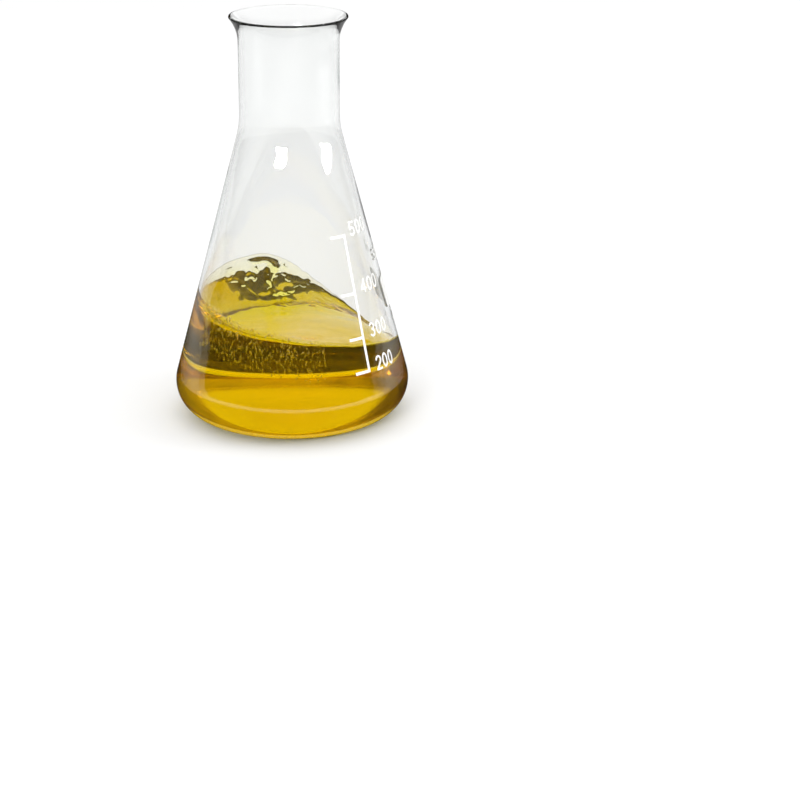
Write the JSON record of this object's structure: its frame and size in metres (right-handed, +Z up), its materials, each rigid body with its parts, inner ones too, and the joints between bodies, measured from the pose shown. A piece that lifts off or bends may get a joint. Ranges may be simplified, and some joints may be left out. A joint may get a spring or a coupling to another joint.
{
  "type": "erlenmeyer flask",
  "caption": "Conical glass flask with a cylindrical neck, flared rim, white enamel volume scale and a swirled charge of yellow liquid culture medium.",
  "frame": {"origin": "middle of the foot, on the plane that the flask stands on", "axes": "+Z up along the flask's axis, -Y towards the reader, who sees the scale on the right"},
  "size_m": [0.105, 0.105, 0.18],
  "materials": {
    "glass": "clear borosilicate glass, fire polished",
    "enamel": "white enamel fired onto the glass",
    "medium": "clear golden yellow liquid"
  },
  "bodies": {
    "vessel": {"glass_vessel": "glass", "scale_line": "enamel", "tick_200": "enamel", "tick_300": "enamel", "tick_400": "enamel", "tick_500": "enamel", "numeral_200": "enamel", "numeral_300": "enamel", "numeral_400": "enamel", "numeral_500": "enamel", "capacity_mark": "enamel", "marking_field": "enamel", "tolerance_mark": "enamel"},
    "medium": {"culture_medium": "medium"}
  },
  "joints": [
    {"name": "swirl", "type": "hinge", "parent": "vessel", "child": "medium", "pos_m": [0, 0, 0], "axis": [0, 0, 1], "continuous": true}
  ]
}
